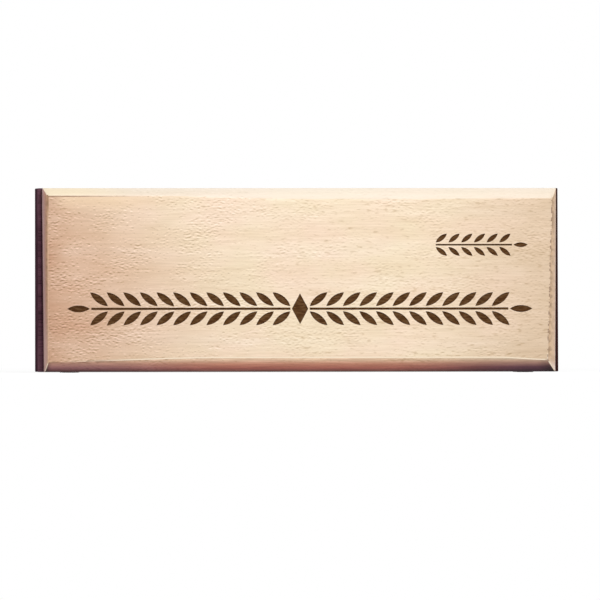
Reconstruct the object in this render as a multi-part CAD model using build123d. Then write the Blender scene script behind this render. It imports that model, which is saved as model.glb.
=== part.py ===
from build123d import *

import os
from math import cos, hypot, radians, sin, tan

# A desk name plate: a bevelled, engraved beech face board on the leaning front of a dark stained block.
# +X runs along the plate, +Z is up and the face looks along -Y.
# The origin lies on the desk, under the middle of the plate.
# Lengths are in millimetres and angles in degrees.

# Whole plate
plate_length = 254.0
plate_height = 89.5  # measured up the leaning front
lean_angle = 2.0
cut_overrun = 3.0  # how far a cutter runs past the surface that it opens

# Face board
face_thickness = 9.5
end_reveal = 1.9  # step from each end of the block to the end of the face board
bevel_depth = 2.6  # drop of every bevel from the face to the board's edge
top_bevel_width = 5.2
bottom_bevel_width = 6.4
left_bevel_width = 2.1
right_bevel_width = 3.2
bevel_crown_share = 0.07  # bulge of a bevel, as a share of its slope length

# Engraving: a leafy garland with a lozenge in its middle, and a small sprig above its right end
engraving_depth = 0.45
leaf_angle = 38.0  # between a leaf and its stem
garland_end_margin = 11.6  # from the ends of the face board to the garland's tips
garland_rise = 30.4  # from the lower edge of the face board to the garland's stem
garland_leaf_length = 11.0
garland_leaf_width = 3.4
garland_leaf_pitch = 7.4
garland_stem_width = 1.1
lozenge_width = 8.0
lozenge_height = 15.0
sprig_length = 45.0
sprig_end_margin = 13.7  # from the right end of the face board to the sprig's tip
sprig_drop = 28.0  # from the upper edge of the face board to the sprig's stem
sprig_leaf_length = 7.0
sprig_leaf_width = 2.3
sprig_leaf_pitch = 5.6
sprig_stem_width = 0.8
engraving_gap = 0.7  # uncut wood left between two engraved marks

# Block
block_base_depth = 26.0
block_edge_radius = 0.4

# Locating dowels between the block and the face board
dowel_diameter = 6.0
dowel_length = 16.0
dowel_in_face = 5.5
dowel_end_inset = 62.0  # from the ends of the block to the dowels
dowel_clearance = 0.05
dowel_glue_space = 0.5  # left at both ends of a dowel
dowel_chamfer = 0.7
dowel_flute_count = 12
dowel_flute_radius = 0.35

# Screws that hold the face board from behind
screw_diameter = 3.5
screw_length = 25.0  # under the head
screw_bite = 6.0  # length in the face board
screw_point_length = 4.0
screw_point_diameter = 0.8
screw_clearance = 0.1
screw_end_inset = 30.0  # from the ends of the block to the screws
screw_edge_inset = 22.0  # from the upper and lower edges of the front to the screws
head_diameter = 6.9
head_height = 2.6
head_edge_radius = 1.4
head_room = 1.3  # between a screw head and the wall of its counterbore
drive_span = 4.2
drive_width = 1.1
drive_depth = 1.6

# Clear silicone feet
foot_diameter = 9.0
foot_height = 2.8
foot_proud = 0.35  # height of the block above the desk
foot_clearance = 0.1
foot_end_inset = 16.0  # from the ends of the block to the feet
foot_edge_margin = 2.0  # wood left between a foot's recess and the front or back of the block's base
foot_rim_radius = 0.5

# Sizes that follow from those above
face_length = plate_length - 2 * end_reveal
lean = radians(lean_angle)
dowel_in_block = dowel_length - dowel_in_face
screw_grip = screw_length - screw_bite
foot_recess_diameter = foot_diameter + 2 * foot_clearance
foot_edge_inset = foot_edge_margin + foot_recess_diameter / 2
counterbore_diameter = head_diameter + 2 * head_room

# Places on the front of the block: x along the plate, y up the front, z out of it
front = Plane(origin=(0, 0, foot_proud), x_dir=(1, 0, 0), z_dir=(0, -cos(lean), sin(lean)))
dowel_x = plate_length / 2 - dowel_end_inset
screw_x = plate_length / 2 - screw_end_inset
screw_places = [
    (side * screw_x, height)
    for side in (-1, 1)
    for height in (screw_edge_inset, plate_height - screw_edge_inset)
]


def round_bar(diameter, start, end):
    """Cylinder along z from one height to another."""
    return Pos(0, 0, (start + end) / 2) * Cylinder(diameter / 2, end - start)


# Face board


def level_drop(height):
    """How far a level line comes down the front, from the joint to a height above it."""
    return height * tan(lean)


def face_blank():
    """Board with its upper and lower sides planed level, flush with those of the block."""
    face_drop = level_drop(face_thickness)
    section = Polyline(
        (0, 0),
        (plate_height, 0),
        (plate_height - face_drop, face_thickness),
        (-face_drop, face_thickness),
        close=True,
    )
    return extrude(Plane.YZ * make_face(section), face_length / 2, both=True)


def bevel_cutter(width, run):
    """Waste above one bevel: x runs into the board from its edge, y up from its face and z along the edge."""
    slope = hypot(width, bevel_depth)
    crown = bevel_crown_share * slope
    inner = (width, 0)
    outer = (0, -bevel_depth)
    crest = (
        width / 2 - crown * bevel_depth / slope,
        -bevel_depth / 2 + crown * width / slope,
    )
    outline = [
        ThreePointArc(inner, crest, outer),
        Polyline(
            outer,
            (-cut_overrun, -bevel_depth),
            (-cut_overrun, cut_overrun),
            (width, cut_overrun),
            inner,
        ),
    ]
    return extrude(make_face(outline), run / 2 + cut_overrun, both=True)


def bevel_cutters():
    side_drop = level_drop(face_thickness - bevel_depth)
    edges = [
        ((0, -side_drop), (0, 1, 0), bottom_bevel_width, face_length),
        ((0, plate_height - side_drop), (0, -1, 0), top_bevel_width, face_length),
        ((-face_length / 2, plate_height / 2), (1, 0, 0), left_bevel_width, plate_height),
        ((face_length / 2, plate_height / 2), (-1, 0, 0), right_bevel_width, plate_height),
    ]
    cutters = []
    for (x, y), inward, width, run in edges:
        edge_plane = Plane(
            origin=(x, y, face_thickness),
            x_dir=inward,
            z_dir=Vector(inward).cross(Vector(0, 0, 1)),
        )
        cutters.append(edge_plane * bevel_cutter(width, run))
    return cutters


def leaf(length, width):
    """Pointed leaf along x, with its foot at the origin."""
    foot = (0, 0)
    tip = (length, 0)
    upper = ThreePointArc(foot, (length / 2, width / 2), tip)
    lower = ThreePointArc(tip, (length / 2, -width / 2), foot)
    return make_face([upper, lower])


def branch(length, leaf_length, leaf_width, leaf_pitch, stem_width):
    """Stem along x from the origin, with leaves in pairs and one leaf at its tip."""
    stem_length = length - leaf_length - engraving_gap
    pairs = max(1, round(stem_length / leaf_pitch) - 1)
    stem = Pos(stem_length / 2, 0) * Rectangle(stem_length, stem_width)
    marks = [stem, Pos(length - leaf_length, 0) * leaf(leaf_length, leaf_width)]
    stand_off = stem_width / 2 + engraving_gap
    for index in range(pairs):
        along = stem_length * index / pairs
        for side in (-1, 1):
            place = Pos(along, side * stand_off) * Rot(0, 0, side * leaf_angle)
            marks.append(place * leaf(leaf_length, leaf_width))
    return marks


def engraved_marks():
    """Outlines of every engraved mark, drawn on the face."""
    garland_start = lozenge_width / 2 + engraving_gap
    garland_length = face_length / 2 - garland_end_margin - garland_start
    half_garland = branch(
        garland_length, garland_leaf_length, garland_leaf_width, garland_leaf_pitch, garland_stem_width
    )
    lozenge = make_face(
        Polyline(
            (lozenge_width / 2, 0),
            (0, lozenge_height / 2),
            (-lozenge_width / 2, 0),
            (0, -lozenge_height / 2),
            close=True,
        )
    )
    marks = [Pos(0, garland_rise) * lozenge]
    for turn in (0, 180):
        half_place = Pos(0, garland_rise) * Rot(0, 0, turn) * Pos(garland_start, 0)
        marks += [half_place * mark for mark in half_garland]
    sprig_place = Pos(face_length / 2 - sprig_end_margin - sprig_length, plate_height - sprig_drop)
    sprig = branch(sprig_length, sprig_leaf_length, sprig_leaf_width, sprig_leaf_pitch, sprig_stem_width)
    marks += [sprig_place * mark for mark in sprig]
    return marks


def engraving_cutters():
    floor = Pos(0, 0, face_thickness - engraving_depth)
    return [floor * extrude(mark, engraving_depth + cut_overrun) for mark in engraved_marks()]


def face_board():
    dowel_hole = round_bar(
        dowel_diameter + 2 * dowel_clearance, -cut_overrun, dowel_in_face + dowel_glue_space
    )
    screw_hole = round_bar(screw_diameter + 2 * screw_clearance, -cut_overrun, screw_bite)
    cutters = bevel_cutters() + engraving_cutters()
    cutters += [Pos(side * dowel_x, plate_height / 2) * dowel_hole for side in (-1, 1)]
    cutters += [Pos(x, y) * screw_hole for x, y in screw_places]
    return front * (face_blank() - cutters)


# Block


def block():
    top = foot_proud + plate_height * cos(lean)
    section = Polyline(
        (0, foot_proud),
        (block_base_depth, foot_proud),
        (block_base_depth, top),
        (plate_height * sin(lean), top),
        close=True,
    )
    blank = extrude(Plane.YZ * make_face(section), plate_length / 2, both=True)
    front_face = blank.faces().sort_by(Axis.Y)[0]
    front_edges = front_face.edges()
    back_edges = [edge for edge in blank.edges() if edge not in front_edges]
    blank = fillet(back_edges, block_edge_radius)

    past_back = -(block_base_depth + cut_overrun)
    screw_hole = round_bar(screw_diameter + 2 * screw_clearance, past_back, cut_overrun)
    counterbore = round_bar(counterbore_diameter, past_back, -screw_grip)
    dowel_hole = round_bar(
        dowel_diameter + 2 * dowel_clearance, -(dowel_in_block + dowel_glue_space), cut_overrun
    )
    cutters = [front * Pos(x, y) * hole for x, y in screw_places for hole in (screw_hole, counterbore)]
    cutters += [front * Pos(side * dowel_x, plate_height / 2) * dowel_hole for side in (-1, 1)]
    foot_recess = round_bar(foot_recess_diameter, -cut_overrun, foot_height)
    cutters += [place * foot_recess for place in foot_places().values()]
    return blank - cutters


# Small pieces


def dowel():
    """Fluted dowel along z, with the joint between the two boards at its origin."""
    pin = round_bar(dowel_diameter, -dowel_in_block, dowel_in_face)
    pin = chamfer(pin.edges(), dowel_chamfer)
    flute = round_bar(2 * dowel_flute_radius, -dowel_length, dowel_length)
    flutes = [
        Rot(0, 0, 360 * index / dowel_flute_count) * Pos(dowel_diameter / 2, 0) * flute
        for index in range(dowel_flute_count)
    ]
    return pin - flutes


def screw():
    """Pan-head wood screw along z, head down, with the joint between the two boards at its origin."""
    head_seat = -screw_grip
    head = round_bar(head_diameter, head_seat - head_height, head_seat)
    head = fillet(head.edges().sort_by(Axis.Z)[0], head_edge_radius)
    shoulder = screw_bite - screw_point_length
    shank = round_bar(screw_diameter, head_seat, shoulder)
    point = Pos(0, 0, (shoulder + screw_bite) / 2) * Cone(
        screw_diameter / 2, screw_point_diameter / 2, screw_point_length
    )
    drive_centre = Pos(0, 0, head_seat - head_height)
    slot = drive_centre * Box(drive_span, drive_width, 2 * drive_depth)
    cross_slot = drive_centre * Box(drive_width, drive_span, 2 * drive_depth)
    return head + shank + point - slot - cross_slot


def foot():
    """Round silicone foot that stands on z = 0."""
    pad = round_bar(foot_diameter, 0, foot_height)
    return fillet(pad.edges().sort_by(Axis.Z)[0], foot_rim_radius)


def foot_places():
    foot_x = plate_length / 2 - foot_end_inset
    sides = {"left": -foot_x, "right": foot_x}
    rows = {"front": foot_edge_inset, "rear": block_base_depth - foot_edge_inset}
    return {f"{row}_{side}": Pos(x, y) for row, y in rows.items() for side, x in sides.items()}


# Assembly


def assemble():
    """Every piece of the plate by name, with the block's front lower edge at y = 0."""
    pieces = {
        "face_board": face_board(),
        "dark_block": block(),
        "left_locating_dowel": front * Pos(-dowel_x, plate_height / 2) * dowel(),
        "right_locating_dowel": front * Pos(dowel_x, plate_height / 2) * dowel(),
        "face_screws": Compound([front * Pos(x, y) * screw() for x, y in screw_places]),
    }
    for name, place in foot_places().items():
        pieces[f"{name}_foot"] = place * foot()
    return pieces


def middle_of_depth(pieces):
    boxes = [piece.bounding_box() for piece in pieces.values()]
    return (min(box.min.Y for box in boxes) + max(box.max.Y for box in boxes)) / 2


os.makedirs("parts", exist_ok=True)
plate = assemble()
centred = Pos(0, -middle_of_depth(plate), 0)
for name, piece in plate.items():
    export_step(centred * piece, f"parts/{name}.step")
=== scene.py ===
from math import atan, copysign, cos, pi, radians, sin, tan

import bmesh
import bpy
from mathutils import Matrix, Vector


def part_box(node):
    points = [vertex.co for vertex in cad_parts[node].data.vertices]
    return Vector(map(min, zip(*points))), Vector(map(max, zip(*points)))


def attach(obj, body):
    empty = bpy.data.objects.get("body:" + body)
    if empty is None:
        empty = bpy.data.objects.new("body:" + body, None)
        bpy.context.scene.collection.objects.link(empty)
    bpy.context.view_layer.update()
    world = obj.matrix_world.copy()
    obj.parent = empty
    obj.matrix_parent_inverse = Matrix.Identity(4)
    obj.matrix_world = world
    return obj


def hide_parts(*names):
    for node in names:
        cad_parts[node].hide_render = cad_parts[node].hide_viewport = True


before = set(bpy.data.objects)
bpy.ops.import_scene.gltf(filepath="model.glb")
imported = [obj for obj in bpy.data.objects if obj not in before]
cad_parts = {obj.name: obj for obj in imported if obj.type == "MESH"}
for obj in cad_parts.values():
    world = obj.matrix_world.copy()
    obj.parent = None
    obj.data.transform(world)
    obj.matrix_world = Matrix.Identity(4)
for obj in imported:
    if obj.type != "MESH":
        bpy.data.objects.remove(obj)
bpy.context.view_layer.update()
print("frame loaded:", sorted(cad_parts))

mm = 0.001
tiny = 1e-4  # slack when unit coordinates are compared
sliver = 0.002 * mm  # corners that a cut leaves closer than this are merged
facing = 0.9  # a face whose normal has this much of an axis looks along it

# the plate's own axes: x along it, y up its leaning front, z out of it, from the block's lower front edge
plate = {"lean": radians(2.0)}
blockLow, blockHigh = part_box("dark_block")
boardLow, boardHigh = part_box("face_board")
plate["length"] = blockHigh[0] - blockLow[0]
plate["height"] = (blockHigh[2] - blockLow[2]) / cos(plate["lean"])
plate["corner"] = Vector((0, blockLow[1], blockLow[2]))
plateAxes = Matrix.Translation(plate["corner"]) @ Matrix.Rotation(pi / 2 - plate["lean"], 4, "X")

# for the materials, in millimetres
plateHigh = plate["height"] / mm
boardHalf = (boardHigh[0] - boardLow[0]) / mm / 2

# settings that many nodes share
noiseSpan = (0.3, 0.7)  # nearly all of a noise lies between these
smooth = {"interpolation_type": "SMOOTHSTEP"}
colourMix = {"outlet": 2, "data_type": "RGBA"}


def hexColour(text):
    # sRGB hex to the linear colour that the shaders take
    parts = [int(text[i:i + 2], 16) / 255 for i in (1, 3, 5)]
    return tuple(c / 12.92 if c <= 0.04045 else ((c + 0.055) / 1.055) ** 2.4 for c in parts) + (1.0,)


def addNode(tree, kind, inputs, outlet=0, stops=None, **settings):
    # inputs: socket name or number -> a plain value, a hex colour, or the outlet of an earlier node
    node = tree.nodes.new("ShaderNode" + kind)
    for name, value in settings.items():
        setattr(node, name, value)
    if stops:
        ramp = node.color_ramp.elements
        while len(ramp) < len(stops):
            ramp.new(0.5)
        for element, (position, colour) in zip(ramp, stops):
            element.position = position
            element.color = hexColour(colour)
    for socket, value in inputs.items():
        if isinstance(value, bpy.types.NodeSocket):
            tree.links.new(value, node.inputs[socket])
        else:
            node.inputs[socket].default_value = hexColour(value) if isinstance(value, str) else value
    return node.outputs[outlet] if node.outputs else None


def fade(value, ends, gives=(0.0, 1.0), scale=1):
    # inputs of a Map Range: where the change starts and ends, and what it gives there
    return {"Value": value, 1: ends[0] * scale, 2: ends[1] * scale, 3: gives[0], 4: gives[1]}


def startMaterial(name):
    material = bpy.data.materials.new(name)
    material.use_nodes = True
    material.node_tree.nodes.clear()
    return material, material.node_tree


def finishMaterial(tree, sockets, height=None, relief=None):
    # the shader, with the strength and the depth of the relief where the surface has one
    if relief:
        strength, depth = relief
        bump = {"Height": height, "Strength": strength, "Distance": depth}
        sockets["Normal"] = addNode(tree, "Bump", bump)
    addNode(tree, "OutputMaterial", {"Surface": addNode(tree, "BsdfPrincipled", sockets)})


def linkObject(name, data):
    item = bpy.data.objects.new(name, data)
    bpy.context.scene.collection.objects.link(item)
    return item


def makePiece(name, bm, materials, nodes, smoothAngle=radians(30)):
    mesh = bpy.data.meshes.new(name)
    bm.to_mesh(mesh)
    bm.free()
    for material in materials:
        mesh.materials.append(material)
    mesh.shade_smooth()
    mesh.set_sharp_from_angle(angle=smoothAngle)
    piece = linkObject(name, mesh)
    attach(piece, "root")
    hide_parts(*nodes)
    return piece


def cutAway(bm, cutter, cutMaterial):
    # boolean of two bmeshes; the cut faces take the material number given
    meshes = [bpy.data.meshes.new(name) for name in ("blank", "waste")]
    for face in cutter.faces:
        face.material_index = cutMaterial
    bm.to_mesh(meshes[0])
    cutter.to_mesh(meshes[1])
    cutter.free()
    blank, waste = [linkObject(mesh.name, mesh) for mesh in meshes]
    cut = blank.modifiers.new("cut", "BOOLEAN")
    cut.operation = "DIFFERENCE"
    cut.solver = "EXACT"
    cut.object = waste
    result = bpy.data.meshes.new_from_object(blank.evaluated_get(bpy.context.evaluated_depsgraph_get()))
    bm.clear()
    bm.from_mesh(result)
    bmesh.ops.remove_doubles(bm, verts=bm.verts, dist=sliver)
    manySided = [face for face in bm.faces if len(face.verts) > 4]
    bmesh.ops.triangulate(bm, faces=manySided)  # no triangle without area in the export
    for item in (blank, waste):
        bpy.data.objects.remove(item)
    for mesh in meshes + [result]:
        bpy.data.meshes.remove(mesh)


faceBoard = {
    "length": boardHigh[0] - boardLow[0],
    "thickness": 9.4 * mm,
    "drop": 2.6 * mm,  # how far the bevels fall from the face to the board's edge
    "crown": 0.14,  # bulge of the bevels, as a share of the drop
    # each bevel: its width in the middle, then what it loses towards its left or lower end and towards its
    # right or upper end, with where that loss starts and is full, as shares of the way from the middle
    "topBevel": (5.65 * mm, (1.6 * mm, 0.0, 0.6), (0.3 * mm, 0.45, 1.0)),
    "bottomBevel": (6.9 * mm, (2.0 * mm, 0.29, 1.05), (1.1 * mm, 0.8, 1.0)),
    "leftBevel": (1.95 * mm, (0.3 * mm, 0.0, 1.0), (-0.4 * mm, 0.0, 1.0)),
    "rightBevel": (3.1 * mm, (-0.9 * mm, 0.0, 1.0), (0.85 * mm, 0.0, 1.0)),
    # the ends aren't cut quite square: the left one is this much shorter at the bottom, and the right one
    # this much longer at the bottom and at the top
    "leftSkew": 0.6 * mm,
    "rightSkew": (-0.18 * mm, 0.48 * mm),
    "columns": 128,
    "rows": 24,
    "rings": 5,  # steps down each bevel
    "softEdge": 0.3 * mm,
}
# the board's upper and lower sides are planed level, flush with the block's, so they drop towards the front
faceBoard["sideDrop"] = (faceBoard["thickness"] - faceBoard["drop"]) * tan(plate["lean"])
# the board's finishes, by material number
zones = {"face": 0, "burnt": 1, "lower": 2, "ends": 3, "arris": 4, "mitre": 5, "upper": 6}


def bevelWidth(curve, along):
    # along runs from -1 at the left or lower end to 1 at the right or upper end
    middle, lowEnd, highEnd = curve
    loss, start, full = highEnd if along > 0 else lowEnd
    share = min(max((abs(along) - start) / (full - start), 0), 1)
    return middle - loss * share * share * (3 - 2 * share)


def shapeFaceBoard():
    # a flat panel on a unit square, whose rim grows outwards ring by ring and then turns down to the back
    size = faceBoard
    panel = 0.5  # half of the unit square, which becomes the flat face
    bm = bmesh.new()
    bmesh.ops.create_grid(bm, x_segments=size["columns"], y_segments=size["rows"], size=panel)
    rim = [edge for edge in bm.edges if edge.is_boundary]
    softEdges = list(rim)
    reach = panel
    for ring in range(size["rings"] + 1):
        grown = bmesh.ops.extrude_edge_only(bm, edges=rim)["geom"]
        nextReach = panel + min(1.0, (ring + 1) / size["rings"])
        for vert in (item for item in grown if isinstance(item, bmesh.types.BMVert)):
            for axis in (0, 1):
                if abs(vert.co[axis]) > reach - tiny:
                    vert.co[axis] = copysign(nextReach, vert.co[axis])
            if ring == size["rings"]:
                vert.co.z = -1.0  # the back of the board
        rim = [item for item in grown if isinstance(item, bmesh.types.BMEdge) and item.is_boundary]
        if ring >= size["rings"] - 1:
            softEdges += rim
        reach = nextReach
    bmesh.ops.contextual_create(bm, geom=rim)
    softEdges += [
        edge for edge in bm.edges
        if all(abs(v.co.x) > panel - tiny and abs(abs(v.co.x) - abs(v.co.y)) < tiny for v in edge.verts)
    ]  # the mitres, and the corners behind them

    half = size["length"] / 2
    for vert in bm.verts:
        gx, gy, gz = vert.co
        leftOver, rightOver = max(0, -panel - gx), max(0, gx - panel)
        lowOver, highOver = max(0, -panel - gy), max(0, gy - panel)
        across, upward = (min(max(g, -panel), panel) + panel for g in (gx, gy))
        top, bottom = (bevelWidth(size[name], 2 * across - 1) for name in ("topBevel", "bottomBevel"))
        left, right = (bevelWidth(size[name], 2 * upward - 1) for name in ("leftBevel", "rightBevel"))
        leftEnd = size["leftSkew"] * (1 - upward) - half
        rightLow, rightHigh = size["rightSkew"]
        rightEnd = half + rightLow * (1 - upward) + rightHigh * upward
        x = leftEnd + left + (rightEnd - leftEnd - left - right) * across
        x += rightOver * right - leftOver * left
        y = bottom + (plate["height"] - bottom - top) * upward - lowOver * bottom + highOver * top
        fall = max(leftOver, rightOver, lowOver, highOver)
        z = size["thickness"] - size["drop"] * (fall - 4 * size["crown"] * fall * (1 - fall))
        vert.co = (x, y, 0) if gz < -tiny else (x, y - size["sideDrop"], z)

    bmesh.ops.recalc_face_normals(bm, faces=bm.faces)
    bm.normal_update()
    endward, sideward = 0.3, 0.1  # how far a face has to turn to be part of an end or of a long bevel
    for face in bm.faces:
        if abs(face.normal.x) > endward:
            face.material_index = zones["ends"]
        elif abs(face.normal.y) > sideward:
            face.material_index = zones["upper" if face.normal.y > 0 else "lower"]
    worn = bmesh.ops.bevel(
        bm, geom=softEdges, offset=size["softEdge"], affect="EDGES", segments=2, profile=0.5, material=-1,
        clamp_overlap=True,
    )["faces"]
    arrisTo, mitreTo = 0.1, 0.9  # shares of the drop
    for face in worn:
        depth = (size["thickness"] - face.calc_center_median().z) / size["drop"]
        if depth < arrisTo:
            face.material_index = zones["arris"]
        elif depth < mitreTo:
            face.material_index = zones["mitre"]
    return bm


engraving = {
    "depth": 0.45 * mm,
    "leafAngle": radians(38),
    "gap": 0.7 * mm,  # bare wood between neighbouring marks
    "arcSteps": 9,
    "lozenge": (8.0 * mm, 15.0 * mm),
    "garland": {
        "end": 11.6 * mm, "rise": 30.4 * mm,
        "leaf": (11.0 * mm, 3.4 * mm), "pitch": 7.4 * mm, "stem": 1.1 * mm,
    },
    "sprig": {
        "end": 13.7 * mm, "drop": 28.0 * mm, "length": 45.0 * mm,
        "leaf": (7.0 * mm, 2.3 * mm), "pitch": 5.6 * mm, "stem": 0.8 * mm,
    },
}


def finishMark(bm, mark, place):
    # fills an outline, gives it the engraving's depth and adds it to the waste
    bmesh.ops.contextual_create(mark, geom=mark.edges[:])
    bmesh.ops.transform(mark, matrix=place, verts=mark.verts)
    above = faceBoard["thickness"] + engraving["depth"]
    bmesh.ops.translate(mark, verts=mark.verts, vec=(0, 0, above))
    grown = bmesh.ops.extrude_face_region(mark, geom=mark.faces[:])["geom"]
    lowered = [item for item in grown if isinstance(item, bmesh.types.BMVert)]
    bmesh.ops.translate(mark, verts=lowered, vec=(0, 0, -2 * engraving["depth"]))
    bmesh.ops.recalc_face_normals(mark, faces=mark.faces)
    mesh = bpy.data.meshes.new("mark")
    mark.to_mesh(mesh)
    mark.free()
    bm.from_mesh(mesh)
    bpy.data.meshes.remove(mesh)


def addLeaf(bm, place, length, width):
    # one arc spun from the leaf's foot to its tip, mirrored to close the outline
    leaf = bmesh.new()
    radius = (length * length + width * width) / (4 * width)
    halfAngle = 2 * atan(width / length)
    meeting = width / 100  # the two arcs meet at the foot and at the tip
    foot = leaf.verts.new((0, 0, 0))
    bmesh.ops.spin(
        leaf, geom=[foot], cent=(length / 2, width / 2 - radius, 0), axis=(0, 0, 1), angle=-2 * halfAngle,
        steps=engraving["arcSteps"],
    )
    bmesh.ops.mirror(leaf, geom=leaf.verts[:] + leaf.edges[:], axis="Y", merge_dist=meeting)
    bmesh.ops.remove_doubles(leaf, verts=leaf.verts, dist=meeting)
    finishMark(bm, leaf, place)


def addBranch(bm, place, length, style):
    # a stem with pairs of leaves along it and one leaf at its tip
    leafLength, leafWidth = style["leaf"]
    stemLength = length - leafLength - engraving["gap"]
    stem = bmesh.new()
    bmesh.ops.create_grid(stem, x_segments=1, y_segments=1, size=0.5)
    bmesh.ops.scale(stem, vec=(stemLength, style["stem"], 1), verts=stem.verts)
    finishMark(bm, stem, place @ Matrix.Translation((stemLength / 2, 0, 0)))
    addLeaf(bm, place @ Matrix.Translation((length - leafLength, 0, 0)), leafLength, leafWidth)
    pairs = max(1, round(stemLength / style["pitch"]) - 1)
    standOff = style["stem"] / 2 + engraving["gap"]
    for index in range(pairs):
        for side in (-1, 1):
            foot = Matrix.Translation((stemLength * index / pairs, side * standOff, 0))
            turn = Matrix.Rotation(side * engraving["leafAngle"], 4, "Z")
            addLeaf(bm, place @ foot @ turn, leafLength, leafWidth)


def shapeEngraving():
    # a garland either side of a lozenge along the lower part of the face, and a small sprig above it
    bm = bmesh.new()
    garland, sprig = engraving["garland"], engraving["sprig"]
    lozenge = bmesh.new()
    bmesh.ops.create_circle(lozenge, cap_ends=False, segments=4, radius=0.5)
    bmesh.ops.scale(lozenge, vec=(*engraving["lozenge"], 1), verts=lozenge.verts)
    middle = Matrix.Translation((0, garland["rise"], 0))
    finishMark(bm, lozenge, middle)
    start = engraving["lozenge"][0] / 2 + engraving["gap"]
    reach = faceBoard["length"] / 2 - garland["end"]
    for turn in (0, pi):
        place = middle @ Matrix.Rotation(turn, 4, "Z") @ Matrix.Translation((start, 0, 0))
        addBranch(bm, place, reach - start, garland)
    sprigStart = faceBoard["length"] / 2 - sprig["end"] - sprig["length"]
    place = Matrix.Translation((sprigStart, plate["height"] - sprig["drop"], 0))
    addBranch(bm, place, sprig["length"], sprig)
    return bm


def plateMillimetres(tree):
    # Object coordinates turned into the plate's own axes, in millimetres
    turn = plate["lean"] - pi / 2
    place = addNode(tree, "TexCoord", {}, outlet=3)
    return addNode(tree, "Mapping", {
        "Vector": place, "Location": Matrix.Rotation(turn, 3, "X") @ plate["corner"] / -mm,
        "Rotation": (turn, 0, 0), "Scale": (1 / mm,) * 3,
    })


def grainNoise(tree, place, size, detail, roughness=0.5):
    # noise drawn out along the grain: its length and width in millimetres, and how fine it is
    length, width = size
    drawn = addNode(tree, "Mapping", {"Vector": place, "Scale": (1 / length, 1 / width, 1 / width)})
    noise = {"Vector": drawn, "Scale": 1.0, "Detail": detail, "Roughness": roughness}
    return addNode(tree, "TexNoise", noise)


beech = {
    # patterns, as grainNoise takes them; real fibres are too fine to show, so these are drawn coarser
    "bands": ((140, 9), 3.0), "patches": ((34, 17), 2.0), "crowding": ((28, 12), 1.0),
    "fleck": ((1.7, 0.78), 0.5), "dash": ((3.2, 0.8), 0.0), "fibre": ((16, 0.8), 3.0),
    "wander": 30, "stray": 1.8,  # over how many millimetres the grain wanders, and how far
    "bandColours": [(0.3, "#EDD5B6"), (0.5, "#F3DDC1"), (0.7, "#F6E3CB")],
    "patchColours": [(0.35, "#F8D9C4"), (0.65, "#F1E1BE")], "patchShare": 0.36,
    # deeper wood at the ends, partly the wood's own tone and partly painted shade where the light falls
    # off: where it starts and is full as shares of half the length, share and colour
    "leftTint": (-0.14, -1.05, 1.0, "#CB9A7A"), "rightTint": (0.4, 1.0, 0.85, "#D3B697"),
    "leftEdge": (-0.88, -1.0, 0.3, "#B58768"),
    "tintDepth": (0.55, 1.0),  # how much of it the patches take
    # the left one reaches less far at the top and at the bottom: shares of the height, and millimetres
    "leftSlips": [(0.55, 0.95, 26), (0.16, 0.04, 14)],
    # how strong a fleck must be in thin and in crowded places, over what it grows from there, and the
    # millimetres from a dark fleck to the pale one beside it
    "fleckGate": (0.28, 0.04), "fleckRamp": 0.26, "fleckStep": 0.585,
    # tones of the flecks at the left end and from the middle on
    "darkFleck": (0.5, 0.8), "paleFleck": (1.38, 1.1),
    # single darker dashes from the middle on: how strong a dash must be, its tone, and where they start
    "dashGate": (0.66, 0.80), "dashTone": 0.8, "dashFrom": (-0.35, 0.05),
    "fibreTone": (0.92, 1.065),
    # dark grain is browner and pale grain whiter: powers of red, green and blue
    "grainPowers": (0.92, 1.16, 1.6),
    # painted highlight, a paler band under the upper arris at the left: millimetres below the top, shares
    # of half the length
    "highlightBand": "#F6D8B2", "bandShare": 0.5, "bandBelow": (5.5, 14), "bandAlong": (-0.45, -0.75),
    "bandEnd": (-0.97, -0.9),
}


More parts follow.
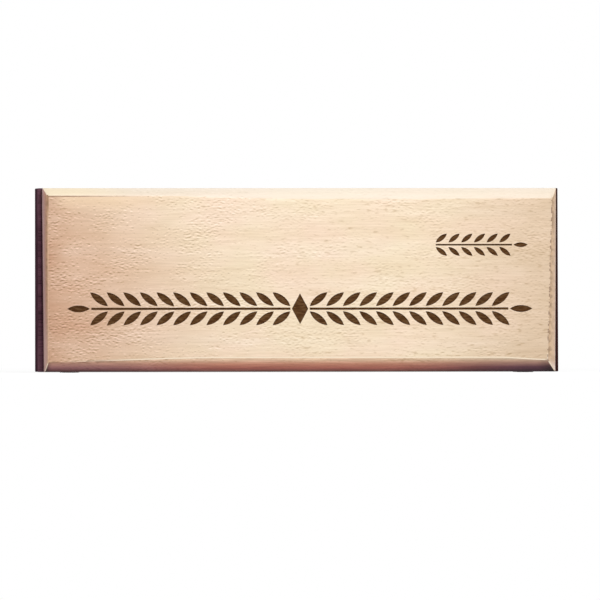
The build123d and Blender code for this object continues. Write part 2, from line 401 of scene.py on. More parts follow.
def beechGrain(tree, place, endTint=1.0):
    # steamed beech: cream ground with growth bands, pinker at the left end and tan at the right, both ends
    # partly painted shade, short ray flecks and fine fibres; the patterns are 3-D, so streaks on the face
    # shrink to dots on the cut ends
    look = beech
    axes = addNode(tree, "SeparateXYZ", {0: place}).node.outputs

    # the grain wanders a little off the board's length
    drift = {"Vector": place, "Scale": 1 / look["wander"], "Detail": 2.0}
    wander = addNode(tree, "TexNoise", drift, outlet=1)
    wander = addNode(tree, "VectorMath", {0: wander, 1: (0.5, 0.5, 0.5)}, operation="SUBTRACT")
    stray = (0.0, look["stray"], look["stray"])
    grain = addNode(tree, "VectorMath", {0: wander, 1: stray, 2: place}, operation="MULTIPLY_ADD")
    names = ("bands", "patches", "crowding", "fleck", "dash", "fibre")
    bands, patches, crowding, fleck, dash, fibre = (grainNoise(tree, grain, *look[name]) for name in names)

    # growth bands far longer than the board is high, with pinker and yellower patches over them
    colour = addNode(tree, "ValToRGB", {"Fac": bands}, stops=look["bandColours"])
    hue = addNode(tree, "ValToRGB", {"Fac": patches}, stops=look["patchColours"])
    colour = addNode(tree, "Mix", {0: look["patchShare"], 6: colour, 7: hue}, **colourMix)

    # deeper wood in soft patches towards both ends, partly painted shade
    leftward = axes["X"]
    for start, full, slip in look["leftSlips"]:
        slipped = addNode(tree, "MapRange", fade(axes["Y"], (start, full), (0.0, slip), plateHigh))
        leftward = addNode(tree, "Math", {0: leftward, 1: slipped}, operation="ADD")
    depth = addNode(tree, "MapRange", fade(patches, noiseSpan, look["tintDepth"]))
    for along, name in ((leftward, "leftTint"), (axes["X"], "leftEdge"), (axes["X"], "rightTint")):
        start, full, share, tint = look[name]
        endDarkening = fade(along, (start, full), (0.0, share * endTint), boardHalf)
        endDarkening = addNode(tree, "MapRange", endDarkening, **smooth)
        endDarkening = addNode(tree, "Math", {0: endDarkening, 1: depth}, operation="MULTIPLY")
        colour = addNode(tree, "Mix", {0: endDarkening, 6: colour, 7: tint}, **colourMix)

    # ray flecks, dark with paler ones beside them, closer together in some places
    step = (0.0, look["fleckStep"], 0.0)
    besidePlace = addNode(tree, "VectorMath", {0: grain, 1: step}, operation="ADD")
    beside = grainNoise(tree, besidePlace, *look["fleck"])
    ridge = addNode(tree, "Math", {0: fleck, 1: beside}, operation="SUBTRACT")
    gate = addNode(tree, "MapRange", fade(crowding, noiseSpan, look["fleckGate"]))
    tones = []
    for operation, side, name in (("SUBTRACT", 1, "darkFleck"), ("ADD", -1, "paleFleck")):
        strength = addNode(tree, "Math", {0: ridge, 1: gate}, operation=operation)
        furthest = addNode(tree, "MapRange", fade(axes["X"], (-boardHalf, 0.0), look[name]))
        tone = fade(strength, (0.0, side * look["fleckRamp"]), (1.0, furthest))
        tones.append(addNode(tree, "MapRange", tone))
    dark, pale = tones

    darkest = fade(axes["X"], look["dashFrom"], (1.0, look["dashTone"]), boardHalf)
    darkest = addNode(tree, "MapRange", darkest)
    dashes = addNode(tree, "MapRange", fade(dash, look["dashGate"], (1.0, darkest)))
    dark = addNode(tree, "Math", {0: dark, 1: dashes}, operation="MULTIPLY")

    # fine fibres
    tone = addNode(tree, "MapRange", fade(fibre, noiseSpan, look["fibreTone"]))
    for fleckTone in (dark, pale):
        tone = addNode(tree, "Math", {0: tone, 1: fleckTone}, operation="MULTIPLY")
    shade = addNode(tree, "CombineXYZ", {
        channel: addNode(tree, "Math", {0: tone, 1: power}, operation="POWER")
        for channel, power in enumerate(look["grainPowers"])
    })
    colour = addNode(tree, "VectorMath", {0: colour, 1: shade}, operation="MULTIPLY")
    height = addNode(tree, "Math", {0: fibre, 1: dark}, operation="MULTIPLY")
    return axes, colour, height


lacquer = {
    "relief": (0.35, 0.03 * mm),  # strength and depth
    "filled": (0.0, 0.7), "roughness": (0.55, 0.42),  # from the deepest grain to where the lacquer fills it
    "ior": 1.5, "specular": 0.5, "coat": 0.2, "coatRoughness": 0.35,
}


def satinLacquer(tree, colour, height, gloss=1.0):
    # thin wiped-on lacquer: the grain still shows as a faint relief under a soft sheen, duller over the
    # lower bevel's painted shade
    look = lacquer
    sheen = addNode(tree, "MapRange", fade(height, look["filled"], look["roughness"]))
    finishMaterial(tree, {
        "Base Color": colour, "Roughness": sheen, "IOR": look["ior"],
        "Specular IOR Level": look["specular"] * gloss, "Coat Weight": look["coat"] * gloss,
        "Coat Roughness": look["coatRoughness"],
    }, height, look["relief"])


def planedBeech():
    # planed along the grain, for the face, with a painted highlight under the upper arris near the left end
    look = beech
    material, tree = startMaterial("steamed_beech_planed")
    axes, colour, height = beechGrain(tree, plateMillimetres(tree))
    full, gone = (plateHigh - below for below in look["bandBelow"])
    band = addNode(tree, "MapRange", fade(axes["Y"], (gone, full), (0.0, look["bandShare"])), **smooth)
    for name in ("bandAlong", "bandEnd"):
        band = addNode(tree, "MapRange", fade(axes["X"], look[name], (0.0, band), boardHalf), **smooth)
    # painted highlight
    colour = addNode(tree, "Mix", {0: band, 6: colour, 7: look["highlightBand"]}, **colourMix)
    satinLacquer(tree, colour, height)
    return material


bevelColoursAndPaintedLight = {
    # colours from the face's arris to the board's edge
    # the top bevel's ramp is painted light: paler and greyer towards the edge
    "top": [(0.0, "#DBCBB7"), (0.5, "#E4D8C6"), (1.0, "#EDE3D5")], "topShare": 0.75, "topTint": 0.25,
    "topYellow": (-0.6, -0.9, 0.5, "#F5E3BC"),  # as the tints of the face
    # the lower bevel's ramps are painted shade, darker towards the board's edge
    "bottom": [
        (0.0, "#DAB288"), (0.35, "#C88A70"), (0.75, "#A5564D"), (0.88, "#7C403D"), (1.0, "#47221F"),
    ],
    "bottomLeft": [
        (0.0, "#CBA486"), (0.42, "#BC8D7E"), (0.72, "#97646A"), (0.88, "#5D2F39"), (1.0, "#351722"),
    ],
    "bottomRight": [
        (0.08, "#D4C0A6"), (0.23, "#BE9D86"), (0.38, "#A98274"), (0.66, "#64404B"), (1.0, "#332027"),
    ],
    "leftFrom": (-0.25, -0.85), "rightFrom": (0.28, 0.92),  # shares of half the length
    "darkeningDown": (0.0, 0.5), "darkening": (0.3, 0.92),  # the share of painted shade grows over the upper half of the bevel
    "bottomGloss": 0.4,
    # the short bevels' ramps grow paler towards the edge: a painted highlight along it
    "left": [(0.05, "#C0926F"), (0.3, "#B98A70"), (0.7, "#BC8882"), (1.0, "#CE9D9C")],
    "right": [(0.04, "#C8A682"), (0.2, "#DEBC99"), (0.7, "#EBC8A8"), (1.0, "#F0CEBE")], "sideShare": 0.8,
    # torn end grain: its size in millimetres, how strong a tear must be, its colour, its share beside the
    # face, over how much of the bevel that fades, and what is left of it at the right edge
    "tear": 2.4, "tearGate": (0.44, 0.6), "tearColour": "#6E4E36", "tearShare": 0.5,
    "tearDown": (0.1, 0.5), "tearEdge": 0.35,
    "streaks": (0.87, 1.14),  # tones of the grain that still shows through the painted shade of the lower bevel
    # dark dashes torn beside the lower arris at the left: pattern, how strong one must be, share, colour,
    # how far down the bevel they reach, and where they start and are full along it
    "dash": ((5, 1.2), 2.0), "dashGate": (0.42, 0.56), "dashShare": 0.6, "dashColour": "#7F5A45",
    "dashDown": (0.04, 0.14), "dashFrom": (-0.55, -0.72),
    # tints beside the lower mitres, painted shade on the lower bevel and painted highlights: where each
    # starts and is full in bevel widths past them, share, colour
    "mitreShade": (2.2, 0.2, 0.95, "#1D100D"), "lightened": (0.35, 0.1, 0.9, "#F6E2CB"),
    # painted highlights round the short bevels' lower corners
    "highlightLeft": (-6.0, -1.0, 0.35, "#F5CBBD"), "highlightRight": (-0.7, -0.1, 0.95, "#FBE6DF"),
}


def bevelPlace(tree, axes):
    # how far a point lies down any bevel and below the lower arris (0 at the face, 1 at the edge), on which
    # side it is, and how far past the lower mitres (above 0 on the lower bevel, below 0 on the short ones)
    thick, drop = (faceBoard[name] / mm for name in ("thickness", "drop"))
    bottomEdge = -faceBoard["sideDrop"] / mm
    bottomArris = bottomEdge + bevelWidth(faceBoard["bottomBevel"], 0) / mm
    down = addNode(tree, "MapRange", fade(axes["Z"], (thick, thick - drop)))
    below = addNode(tree, "MapRange", fade(axes["Y"], (bottomArris, bottomEdge)))
    atRight = addNode(tree, "MapRange", fade(axes["X"], (-0.5, 0.5), scale=boardHalf))
    atLeft = addNode(tree, "Math", {0: 1.0, 1: atRight}, operation="SUBTRACT")
    # widths of the two bevels that meet at a lower mitre, from the left mitre to the right one
    reaches = [bevelWidth(faceBoard[name], -1) / mm for name in ("leftBevel", "rightBevel")]
    rises = [bevelWidth(faceBoard["bottomBevel"], end) / mm for end in (-1, 1)]
    reach, rise = (
        addNode(tree, "MapRange", fade(atRight, (0.0, 1.0), widths)) for widths in (reaches, rises)
    )
    outward = addNode(tree, "Math", {0: axes["X"]}, operation="ABSOLUTE")
    inward = addNode(tree, "Math", {0: boardHalf, 1: outward}, operation="SUBTRACT")
    across = addNode(tree, "Math", {0: inward, 1: reach}, operation="DIVIDE")
    upward = addNode(tree, "Math", {0: axes["Y"], 1: bottomEdge}, operation="SUBTRACT")
    upward = addNode(tree, "Math", {0: upward, 1: rise}, operation="DIVIDE")
    past = addNode(tree, "Math", {0: across, 1: upward}, operation="SUBTRACT")
    return {"x": axes["X"], "down": down, "below": below, "left": atLeft, "right": atRight, "past": past}


def tintBesideMitre(tree, colour, past, corner, tint, **ease):
    start, full, share, shade = tint
    amount = addNode(tree, "MapRange", fade(past, (start, full), (0.0, share)), **ease)
    amount = addNode(tree, "Math", {0: amount, 1: corner}, operation="MULTIPLY")
    return addNode(tree, "Mix", {0: amount, 6: colour, 7: shade}, **colourMix)


def upperBevelBeech():
    # the top bevel is painted paler than the face as light from above, with little of the pink
    look = bevelColoursAndPaintedLight
    material, tree = startMaterial("steamed_beech_top_bevel_painted_light")
    axes, colour, height = beechGrain(tree, plateMillimetres(tree), endTint=look["topTint"])
    spot = bevelPlace(tree, axes)
    # painted light from above, paler towards the board's edge
    paintedLight = addNode(tree, "ValToRGB", {"Fac": spot["down"]}, stops=look["top"])
    colour = addNode(tree, "Mix", {0: look["topShare"], 6: colour, 7: paintedLight}, **colourMix)
    start, full, share, yellow = look["topYellow"]
    yellowed = addNode(tree, "MapRange", fade(spot["x"], (start, full), (0.0, share), boardHalf), **smooth)
    colour = addNode(tree, "Mix", {0: yellowed, 6: colour, 7: yellow}, **colourMix)
    satinLacquer(tree, colour, height)
    return material


def lowerBevelBeech():
    # the lower bevel is painted darker towards its edge as painted shade: tan at the arris, then red brown,
    # then dark at the edge, more plum towards both ends and nearly black beside the mitres
    look = bevelColoursAndPaintedLight
    material, tree = startMaterial("steamed_beech_lower_bevel_painted_shade")
    place = plateMillimetres(tree)
    axes, colour, height = beechGrain(tree, place)
    spot = bevelPlace(tree, axes)
    # painted shade: the ramps darken towards the lower edge and towards both ends
    bevelTone, leftTone, rightTone = (
        addNode(tree, "ValToRGB", {"Fac": spot["below"]}, stops=look[name])
        for name in ("bottom", "bottomLeft", "bottomRight")
    )
    leftward, rightward = (
        addNode(tree, "MapRange", fade(spot["x"], look[name], scale=boardHalf), **smooth)
        for name in ("leftFrom", "rightFrom")
    )
    bevelTone = addNode(tree, "Mix", {0: leftward, 6: bevelTone, 7: leftTone}, **colourMix)
    darkening = addNode(tree, "MapRange", fade(spot["below"], look["darkeningDown"], look["darkening"]), **smooth)
    colour = addNode(tree, "Mix", {0: darkening, 6: colour, 7: bevelTone}, **colourMix)
    colour = addNode(tree, "Mix", {0: rightward, 6: colour, 7: rightTone}, **colourMix)
    # painted shade, nearly black, beside the lower mitres
    colour = tintBesideMitre(tree, colour, spot["past"], spot["below"], look["mitreShade"], **smooth)
    # painted highlight, pale, beside the lower left mitre
    colour = tintBesideMitre(tree, colour, spot["past"], spot["left"], look["lightened"])

    dashes = grainNoise(tree, place, *look["dash"])
    dashes = addNode(tree, "MapRange", fade(dashes, look["dashGate"], (0.0, look["dashShare"])))
    torn = addNode(tree, "MapRange", fade(spot["x"], look["dashFrom"], (0.0, dashes), boardHalf))
    torn = addNode(tree, "MapRange", fade(spot["down"], look["dashDown"], (torn, 0.0)))
    colour = addNode(tree, "Mix", {0: torn, 6: colour, 7: look["dashColour"]}, **colourMix)
    streaks = addNode(tree, "MapRange", fade(height, noiseSpan, look["streaks"]))
    colour = addNode(tree, "VectorMath", {0: colour, "Scale": streaks}, operation="SCALE")
    satinLacquer(tree, colour, height, gloss=look["bottomGloss"])
    return material


def crosscutBeech():
    # end grain on the two short bevels soaks up more finish: brown and torn beside the face and pinker
    # towards the edge, with a painted highlight paler along the edge and painted highlights round the lower
    # corners
    look = bevelColoursAndPaintedLight
    material, tree = startMaterial("steamed_beech_crosscut")
    place = plateMillimetres(tree)
    axes, colour, height = beechGrain(tree, place)
    spot = bevelPlace(tree, axes)
    left, right = (
        addNode(tree, "ValToRGB", {"Fac": spot["down"]}, stops=look[name]) for name in ("left", "right")
    )
    bevelTone = addNode(tree, "Mix", {0: spot["right"], 6: left, 7: right}, **colourMix)
    colour = addNode(tree, "Mix", {0: look["sideShare"], 6: colour, 7: bevelTone}, **colourMix)
    tears = addNode(tree, "TexNoise", {"Vector": place, "Scale": 1 / look["tear"], "Detail": 3.0})
    tears = addNode(tree, "MapRange", fade(tears, look["tearGate"], (0.0, look["tearShare"])))
    atEdge = addNode(tree, "MapRange", fade(spot["right"], (0.0, 1.0), (0.0, look["tearEdge"])))
    beside = addNode(tree, "MapRange", fade(spot["down"], look["tearDown"], (1.0, atEdge)))
    torn = addNode(tree, "Math", {0: tears, 1: beside}, operation="MULTIPLY")
    colour = addNode(tree, "Mix", {0: torn, 6: colour, 7: look["tearColour"]}, **colourMix)
    # painted highlights round the lower corners of both short bevels
    rightEdge = addNode(tree, "Math", {0: spot["right"], 1: spot["down"]}, operation="MULTIPLY")
    for corner, name in ((spot["left"], "highlightLeft"), (rightEdge, "highlightRight")):
        colour = tintBesideMitre(tree, colour, spot["past"], corner, look[name], **smooth)
    satinLacquer(tree, colour, height)
    return material


arris = {
    # distances from the board's left or right end in millimetres, and shares of the height
    # a painted highlight along the lower arris, starting some millimetres in from the left end
    "paintedHighlight": "#FFEFD6", "highlightShare": 0.85, "highlightFrom": (8, 40), "highlightBelow": (0.1, 0.085),
    "torn": "#7F5A45", "tornShare": 0.75, "tornLeft": (10, 45), "tornRight": (4, 6),
    "dash": ((6, 1.4), 2.0), "dashGate": (0.46, 0.6),
    "worn": "#E3BC98", "wornShare": 0.6, "wornTo": (3.5, 5),
    "cutIn": "#86623F", "cutInShare": 0.75, "cutInTo": (12, 50), "cutInAbove": (0.85, 0.9),
    # the mitres' pale colour is a painted highlight
    "mitre": "#FBEBD3", "mitreShare": 0.75,
}


def tornArrisBeech():
    # arrises between the face and the bevels: a painted highlight along the bottom, torn dark in dashes
    # near both ends, worn light again at the very left, and dark where the cutter started at the top left
    look = arris
    material, tree = startMaterial("steamed_beech_torn_arris")
    place = plateMillimetres(tree)
    axes, colour, height = beechGrain(tree, place)
    fromLeft = addNode(tree, "Math", {0: axes["X"], 1: boardHalf}, operation="ADD")
    fromRight = addNode(tree, "Math", {0: 2 * boardHalf, 1: fromLeft}, operation="SUBTRACT")
    upward = addNode(tree, "Math", {0: axes["Y"], 1: plateHigh}, operation="DIVIDE")

    # painted highlight along the lower arris
    atBottom = addNode(tree, "MapRange", fade(upward, look["highlightBelow"], (0.0, look["highlightShare"])))
    paintedHighlight = addNode(tree, "MapRange", fade(fromLeft, look["highlightFrom"], (0.0, atBottom)))
    colour = addNode(tree, "Mix", {0: paintedHighlight, 6: colour, 7: look["paintedHighlight"]}, **colourMix)

    dashes = grainNoise(tree, place, *look["dash"])
    dashes = addNode(tree, "MapRange", fade(dashes, look["dashGate"], (0.0, look["tornShare"])))
    atLeft, atRight = (
        addNode(tree, "MapRange", fade(distance, look[name], (dashes, 0.0)))
        for distance, name in ((fromLeft, "tornLeft"), (fromRight, "tornRight"))
    )
    torn = addNode(tree, "Math", {0: atLeft, 1: atRight}, operation="MAXIMUM")
    colour = addNode(tree, "Mix", {0: torn, 6: colour, 7: look["torn"]}, **colourMix)

    worn, cutIn = (
        addNode(tree, "MapRange", fade(fromLeft, look[name + "To"], (look[name + "Share"], 0.0)))
        for name in ("worn", "cutIn")
    )
    colour = addNode(tree, "Mix", {0: worn, 6: colour, 7: look["worn"]}, **colourMix)
    cutIn = addNode(tree, "MapRange", fade(upward, look["cutInAbove"], (0.0, cutIn)))
    colour = addNode(tree, "Mix", {0: cutIn, 6: colour, 7: look["cutIn"]}, **colourMix)
    satinLacquer(tree, colour, height)
    return material


def mitreHighlightBeech():
    # mitres between the bevels, painted pale as a highlight
    material, tree = startMaterial("steamed_beech_mitre_painted_highlight")
    colour, height = beechGrain(tree, plateMillimetres(tree))[1:]
    colour = addNode(tree, "Mix", {0: arris["mitreShare"], 6: colour, 7: arris["mitre"]}, **colourMix)
    satinLacquer(tree, colour, height)
    return material


burn = {
    "mottle": ((3, 0.7), 3.0), "colours": [(0.38, "#47280A"), (0.5, "#563718"), (0.62, "#65472A")],
    "relief": (0.5, 0.05 * mm), "roughness": 0.85, "ior": 1.5, "specular": 0.2,
}


def burntBeech():
    # beech burnt by a laser, line by line: dull chocolate brown, with a mottle coarse enough to show
    look = burn
    material, tree = startMaterial("burnt_beech_engraving")
    mottle = grainNoise(tree, plateMillimetres(tree), *look["mottle"])
    finishMaterial(tree, {
        "Base Color": addNode(tree, "ValToRGB", {"Fac": mottle}, stops=look["colours"]),
        "Roughness": look["roughness"], "IOR": look["ior"], "Specular IOR Level": look["specular"],
    }, mottle, look["relief"])
    return material


beechFinishes = [
    planedBeech(), burntBeech(), lowerBevelBeech(), crosscutBeech(), tornArrisBeech(), mitreHighlightBeech(),
    upperBevelBeech(),
]  # in the order of the zones
boardShape = shapeFaceBoard()
cutAway(boardShape, shapeEngraving(), zones["burnt"])
bmesh.ops.transform(boardShape, matrix=plateAxes, verts=boardShape.verts)
boardPiece = makePiece("faceBoard", boardShape, beechFinishes, ["face_board"])
print("face board:", len(boardPiece.data.polygons), "faces")

darkBlock = {
    "easedEdge": 0.4 * mm,  # back, top and bottom edges
    "frontEdge": 0.15 * mm,
    "counterbore": 4.75 * mm,  # radius of the holes over the screw heads
    "headSeat": 19.0 * mm,  # from the front to the seats of the screw heads
    "endInset": 30.0 * mm,
    "edgeInset": 22.0 * mm,
    "footGap": 0.1 * mm,
    "boreSegments": 48,
}
grainZones = {"long": 0, "end": 1}  # the block's finishes, by material number
footNames = [f"{row}_{side}_foot" for row in ("front", "rear") for side in ("left", "right")]


def addBore(bm, place, radius, start, end):
    # round cutter along the z axis of its place
    bmesh.ops.create_cone(
        bm, cap_ends=True, segments=darkBlock["boreSegments"], radius1=radius, radius2=radius,
        depth=end - start, matrix=place @ Matrix.Translation((0, 0, (start + end) / 2)),
    )


def shapeDarkBlock():
    # a block with a leaning front, counterbored from the back and recessed for the feet
    size = darkBlock
    depth, rise = blockHigh[1] - blockLow[1], blockHigh[2] - blockLow[2]
    middle = [(low + high) / 2 for low, high in zip(blockLow, blockHigh)]
    bm = bmesh.new()
    bmesh.ops.create_cube(bm, size=1.0)
    bmesh.ops.scale(bm, vec=(plate["length"], depth, rise), verts=bm.verts)
    bmesh.ops.translate(bm, vec=middle, verts=bm.verts)
    frontTop = [v for v in bm.verts if v.co.y < middle[1] and v.co.z > middle[2]]
    bmesh.ops.translate(bm, vec=(0, rise * tan(plate["lean"]), 0), verts=frontTop)
    bm.normal_update()
    frontEdges = [edge for edge in bm.edges if any(face.normal.y < -facing for face in edge.link_faces)]
    otherEdges = [edge for edge in bm.edges if edge not in frontEdges]
    for edges, width in ((otherEdges, size["easedEdge"]), (frontEdges, size["frontEdge"])):
        bmesh.ops.bevel(
            bm, geom=[edge for edge in edges if edge.is_valid], offset=width, affect="EDGES", segments=3,
            profile=0.5, material=-1,
        )
    bm.normal_update()
    for face in bm.faces:
        face.material_index = grainZones["end" if abs(face.normal.x) > facing else "long"]
    waste = bmesh.new()
    screwX = plate["length"] / 2 - size["endInset"]
    for x in (-screwX, screwX):
        for y in (size["edgeInset"], plate["height"] - size["edgeInset"]):
            place = plateAxes @ Matrix.Translation((x, y, 0))
            addBore(waste, place, size["counterbore"], -2 * depth, -size["headSeat"])
    for name in footNames:
        low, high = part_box(name)
        place = Matrix.Translation(((low[0] + high[0]) / 2, (low[1] + high[1]) / 2, 0))
        addBore(waste, place, (high[0] - low[0]) / 2 + size["footGap"], low[2] - rise, high[2])
    bmesh.ops.recalc_face_normals(waste, faces=waste.faces)
    cutAway(bm, waste, grainZones["end"])
    return bm


rosewood = {
    # patterns, as grainNoise takes them; real pores are too fine to show, so these are drawn wider
    "streaks": ((90, 4), 4.0, 0.6), "pore": ((6, 0.7), 1.0),
    "colours": [(0.3, "#432834"), (0.48, "#583744"), (0.62, "#654150"), (0.75, "#785361")],
    "poreGate": (0.55, 0.68), "poreColour": "#2A171E", "poreShare": 0.8,
    # worn lighter towards the upper and lower corners: where that starts and is full, as shares of half the
    # height, its shares on the end grain before and at them, how deep it goes there, its share in front
    "lightened": "#8A6470", "cornerFrom": (0.4, 0.9), "endShare": (0.15, 1.0), "rubbedDepth": 12,
    "frontShare": 0.2,
    "frontSkin": (-0.6, -0.2),  # millimetres from the front over which its wear and the painted shade set in
    # painted shade on the front beside the face board: its colour at each end, and where it starts and is
    # full, in millimetres from the board's end; at the left its share grows over some millimetres of the
    # height
    "paintedShadeLeft": "#2A0A14", "leftReach": (-0.7, -0.1), "leftShare": (0.2, 0.65), "thinBelow": (8, 36),
    "paintedShadeRight": "#2C0802", "rightReach": (-1.0, 0.0), "rightShare": 0.95,
    "ior": 1.5,
    # the satin finish has one roughness for the wood and one for its pores
    "satin": {"relief": (0.5, -0.08 * mm), "roughness": (0.48, 0.75), "specular": 0.1},
    "sawn": {"relief": (0.6, -0.1 * mm), "roughness": 0.9, "specular": 0.0},
}


def hardwoodGrain(tree):
    # open-pored hardwood stained a dark rosewood brown, partly painted shade for the plate's shaded ends:
    # long streaks and fine black pores
    look = rosewood
    place = plateMillimetres(tree)
    streaks = grainNoise(tree, place, *look["streaks"])
    colour = addNode(tree, "ValToRGB", {"Fac": streaks}, stops=look["colours"])
    pores = grainNoise(tree, place, *look["pore"])
    pores = addNode(tree, "MapRange", fade(pores, look["poreGate"], (0.0, look["poreShare"])))
    colour = addNode(tree, "Mix", {0: pores, 6: colour, 7: look["poreColour"]}, **colourMix)
    return addNode(tree, "SeparateXYZ", {0: place}).node.outputs, colour, pores


def cornerWear(tree, rise, shares):
    # from the first share, half way up the block, to the second at its upper and lower corners
    middle = plateHigh / 2
    upward = addNode(tree, "Math", {0: rise, 1: middle}, operation="SUBTRACT")
    fromMiddle = addNode(tree, "Math", {0: upward}, operation="ABSOLUTE")
    return addNode(tree, "MapRange", fade(fromMiddle, rosewood["cornerFrom"], shares, middle), **smooth)


def finishHardwood(tree, colour, pores, roughness, finish):
    # the pores stay open under either finish
    finishMaterial(tree, {
        "Base Color": colour, "Roughness": roughness, "IOR": rosewood["ior"],
        "Specular IOR Level": finish["specular"],
    }, pores, finish["relief"])


def stainedHardwood():
    # long-grain sides, rubbed to a satin, with painted shade on the front beside the board
    look = rosewood
    material, tree = startMaterial("rosewood_stained_hardwood")
    axes, colour, pores = hardwoodGrain(tree)
    worn = cornerWear(tree, axes["Y"], (0.0, look["frontShare"]))
    leftShare = addNode(tree, "MapRange", fade(axes["Y"], look["thinBelow"], look["leftShare"]), **smooth)
    leftReach = [reach - boardHalf for reach in look["leftReach"]]
    rightReach = [reach + boardHalf for reach in look["rightReach"]]
    leftward = addNode(tree, "MapRange", fade(axes["X"], leftReach, (0.0, leftShare)), **smooth)
    rightward = addNode(tree, "MapRange", fade(axes["X"], rightReach, (0.0, look["rightShare"])))
    for share, name in ((worn, "lightened"), (leftward, "paintedShadeLeft"), (rightward, "paintedShadeRight")):
        inFront = addNode(tree, "MapRange", fade(axes["Z"], look["frontSkin"], (0.0, share)))
        colour = addNode(tree, "Mix", {0: inFront, 6: colour, 7: look[name]}, **colourMix)
    sheen = addNode(tree, "MapRange", fade(pores, (0.0, 1.0), look["satin"]["roughness"]))
    finishHardwood(tree, colour, pores, sheen, look["satin"])
    return material


def crosscutHardwood():
    # sawn end grain, dead matt: the open pores swallow the light
    look = rosewood
    material, tree = startMaterial("rosewood_stained_end_grain")
    axes, colour, pores = hardwoodGrain(tree)
    worn = cornerWear(tree, axes["Y"], look["endShare"])
    lightened = addNode(tree, "MapRange", fade(axes["Z"], (-look["rubbedDepth"], 0.0), (0.0, worn)))
    colour = addNode(tree, "Mix", {0: lightened, 6: colour, 7: look["lightened"]}, **colourMix)
    finishHardwood(tree, colour, pores, look["sawn"]["roughness"], look["sawn"])
    return material


blockFinishes = [stainedHardwood(), crosscutHardwood()]
blockPiece = makePiece("darkBlock", shapeDarkBlock(), blockFinishes, ["dark_block"])
print("dark block:", len(blockPiece.data.polygons), "faces")

siliconeFoot = {
    "rim": 0.5 * mm, "dimple": 0.12 * mm, "dimpleRim": 1.4 * mm, "segments": 48,
    "cloud": 1.2, "colours": [(0.3, "#E2E0D8"), (0.7, "#F0EFEA")],  # millimetres between the milky patches
    "relief": (0.3, 0.03 * mm), "roughness": 0.3, "ior": 1.41, "clear": 0.9,
}


def shapeFoot(low, high):
    # a moulded disc with rounded rims and a shallow dimple underneath
    size = siliconeFoot
    bm = bmesh.new()
    radius = (high[0] - low[0]) / 2
    bmesh.ops.create_cone(
        bm, cap_ends=True, segments=size["segments"], radius1=radius, radius2=radius,
        depth=high[2] - low[2], matrix=Matrix.Translation([(a + b) / 2 for a, b in zip(low, high)]),
    )
    bm.normal_update()
    rims = [edge for edge in bm.edges if any(abs(face.normal.z) > facing for face in edge.link_faces)]
    bmesh.ops.bevel(bm, geom=rims, offset=size["rim"], affect="EDGES", segments=4, profile=0.5, material=-1)
    level = 0.99  # flatter than the first step of the rounded rim
    sole = [face for face in bm.faces if face.normal.z < -level]
    for thickness, depth in ((size["dimpleRim"], 0.0), (size["rim"], -size["dimple"])):
        bmesh.ops.inset_region(bm, faces=sole, thickness=thickness, depth=depth, use_even_offset=True)
    return bm


def clearSilicone():
    # moulded clear silicone: lets most of the light through, a little milky and faintly dimpled
    look = siliconeFoot
    material, tree = startMaterial("clear_moulded_silicone")
    place = plateMillimetres(tree)
    cloud = addNode(tree, "TexNoise", {"Vector": place, "Scale": 1 / look["cloud"], "Detail": 2.0})
    finishMaterial(tree, {
        "Base Color": addNode(tree, "ValToRGB", {"Fac": cloud}, stops=look["colours"]),
        "Roughness": look["roughness"], "IOR": look["ior"], "Transmission Weight": look["clear"],
    }, cloud, look["relief"])
    return material


silicone = clearSilicone()
for name in footNames:
    row, side = name.split("_")[:2]
    makePiece(f"{row}{side.title()}Foot", shapeFoot(*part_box(name)), [silicone], [name])
print("feet:", len(footNames))

fixings = {
    "zincCloud": 1.5,  # patch size in millimetres
    "zincColours": [(0.3, "#B9B8B0"), (0.7, "#D3D2CC")], "zincRoughness": (0.28, 0.5),
    "dowelFibre": (1 / 0.6, 1 / 0.6, 1 / 8),  # 0.6 mm wide, so that they show, and 8 mm along the dowel
    "dowelColours": [(0.3, "#CFA97F"), (0.7, "#E3C49C")], "dowelRoughness": 0.7,
}


def zincPlate():
    # bright zinc-plated steel, dulled by handling
    look = fixings
    material, tree = startMaterial("zinc_plated_steel")
    place = plateMillimetres(tree)
    cloud = addNode(tree, "TexNoise", {"Vector": place, "Scale": 1 / look["zincCloud"], "Detail": 3.0})
    rough = addNode(tree, "MapRange", fade(cloud, noiseSpan, look["zincRoughness"]))
    colour = addNode(tree, "ValToRGB", {"Fac": cloud}, stops=look["zincColours"])
    finishMaterial(tree, {"Base Color": colour, "Metallic": 1.0, "Roughness": rough})
    return material


def turnedBeech():
    # bare beech dowel rod, a shade deeper than the lacquered board
    look = fixings
    material, tree = startMaterial("bare_turned_beech")
    drawn = addNode(tree, "Mapping", {"Vector": plateMillimetres(tree), "Scale": look["dowelFibre"]})
    fibre = addNode(tree, "TexNoise", {"Vector": drawn, "Scale": 1.0, "Detail": 3.0})
    colour = addNode(tree, "ValToRGB", {"Fac": fibre}, stops=look["dowelColours"])
    finishMaterial(tree, {"Base Color": colour, "Roughness": look["dowelRoughness"]})
    return material


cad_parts["face_screws"].data.materials[0] = zincPlate()
dowelBeech = turnedBeech()
for side in ("left", "right"):
    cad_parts[f"{side}_locating_dowel"].data.materials[0] = dowelBeech
print("screws and dowels kept from the frame")

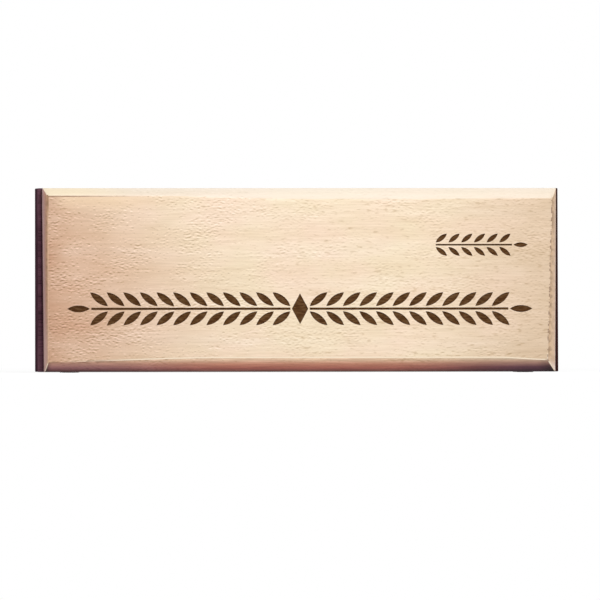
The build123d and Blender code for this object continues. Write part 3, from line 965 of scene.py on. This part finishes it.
# a long lens, level with the plate and a little to its left
camera = {
    "yaw": radians(4.69), "roll": radians(-0.051), "distance": 8.0, "clipEnd": 100.0,
    "picture": 600, "pixel": 0.4866 * mm,  # picture size, and the size of a pixel at the face
    "facePixel": (299.98, 279.22),  # where the middle of the face appears
}
faceMiddle = plateAxes @ Vector((0, plate["height"] / 2, faceBoard["thickness"]))
toCamera = Vector((-sin(camera["yaw"]), -cos(camera["yaw"]), 0))
right = Vector((0, 0, 1)).cross(toCamera)
up = toCamera.cross(right)
shiftX, shiftY = ((camera["picture"] / 2 - value) * camera["pixel"] for value in camera["facePixel"])
lens = bpy.data.cameras.new("camera")
lens.lens = lens.sensor_width * camera["distance"] / (camera["picture"] * camera["pixel"])
lens.clip_end = camera["clipEnd"]
view = linkObject("camera", lens)
turn = Matrix((right, up, toCamera)).transposed() @ Matrix.Rotation(camera["roll"], 3, "Z")
aim = faceMiddle + right * shiftX - up * shiftY
view.matrix_world = Matrix.Translation(aim + toCamera * camera["distance"]) @ turn.to_4x4()
bpy.context.scene.camera = view


def seenDirectly(tree):
    # 1 for the camera and for what shows in gloss or through clear pieces, 0 for the light that bounces
    rays = addNode(tree, "LightPath", {}).node.outputs
    seen = addNode(tree, "Math", {0: rays["Is Camera Ray"], 1: rays["Is Glossy Ray"]}, operation="MAXIMUM")
    return addNode(tree, "Math", {0: seen, 1: rays["Is Transmission Ray"]}, operation="MAXIMUM")


# pale floor: white to the camera, with the plate's shadow, and light grey to the light that bounces off it
white = "#FFFFFF"
floor = {
    "size": 20.0, "bounce": "#C8C8C8", "seen": 1.4,
    "shadowShare": 0.15, "shadowFade": (0.15, 0.6),  # how much the shadow shows, and metres where it fades
}
floorShape = bmesh.new()
bmesh.ops.create_grid(floorShape, x_segments=1, y_segments=1, size=floor["size"])
floorMesh = bpy.data.meshes.new("floor")
floorShape.to_mesh(floorMesh)
floorShape.free()
linkObject("floor", floorMesh)
floorMaterial, tree = startMaterial("pale_matt_floor")
seen = seenDirectly(tree)
place = addNode(tree, "TexCoord", {}, outlet=3)
away = addNode(tree, "VectorMath", {0: place}, operation="LENGTH", outlet=1)
glow = addNode(tree, "MapRange", fade(away, floor["shadowFade"], (1 - floor["shadowShare"], 1.0)), **smooth)
glow = addNode(tree, "Math", {0: glow, 1: seen}, operation="MULTIPLY")
paint = addNode(tree, "Mix", {0: seen, 6: floor["bounce"], 7: (floor["seen"],) * 4}, **colourMix)
matt = addNode(tree, "BsdfDiffuse", {"Color": paint})
shining = addNode(tree, "Emission", {"Color": white, "Strength": 1.0})
addNode(tree, "OutputMaterial", {"Surface": addNode(tree, "MixShader", {0: glow, 1: matt, 2: shining})})
floorMesh.materials.append(floorMaterial)

# one soft lamp in front of the plate, above it and a little to its right; the room is a dim even fill
keyLamp = {"from": (0.1, -0.72, 0.62), "size": 0.5, "watts": 5.95}
light = bpy.data.lights.new("key", "AREA")
light.shape = "DISK"
light.size = keyLamp["size"]
light.energy = keyLamp["watts"]
holder = linkObject("key", light)
holder.location = keyLamp["from"]
holder.rotation_euler = (faceMiddle - Vector(keyLamp["from"])).to_track_quat("-Z", "Y").to_euler()

room = {"fill": 0.4}
world = bpy.data.worlds.new("studio")
world.use_nodes = True
tree = world.node_tree
tree.nodes.clear()
level = addNode(tree, "MapRange", fade(seenDirectly(tree), (0.0, 1.0), (room["fill"], 1.0)))
sky = addNode(tree, "Background", {"Color": white, "Strength": level})
addNode(tree, "OutputWorld", {"Surface": sky})
bpy.context.scene.world = world
bpy.context.scene.view_settings.view_transform = "Standard"
print("camera, floor and light ready")
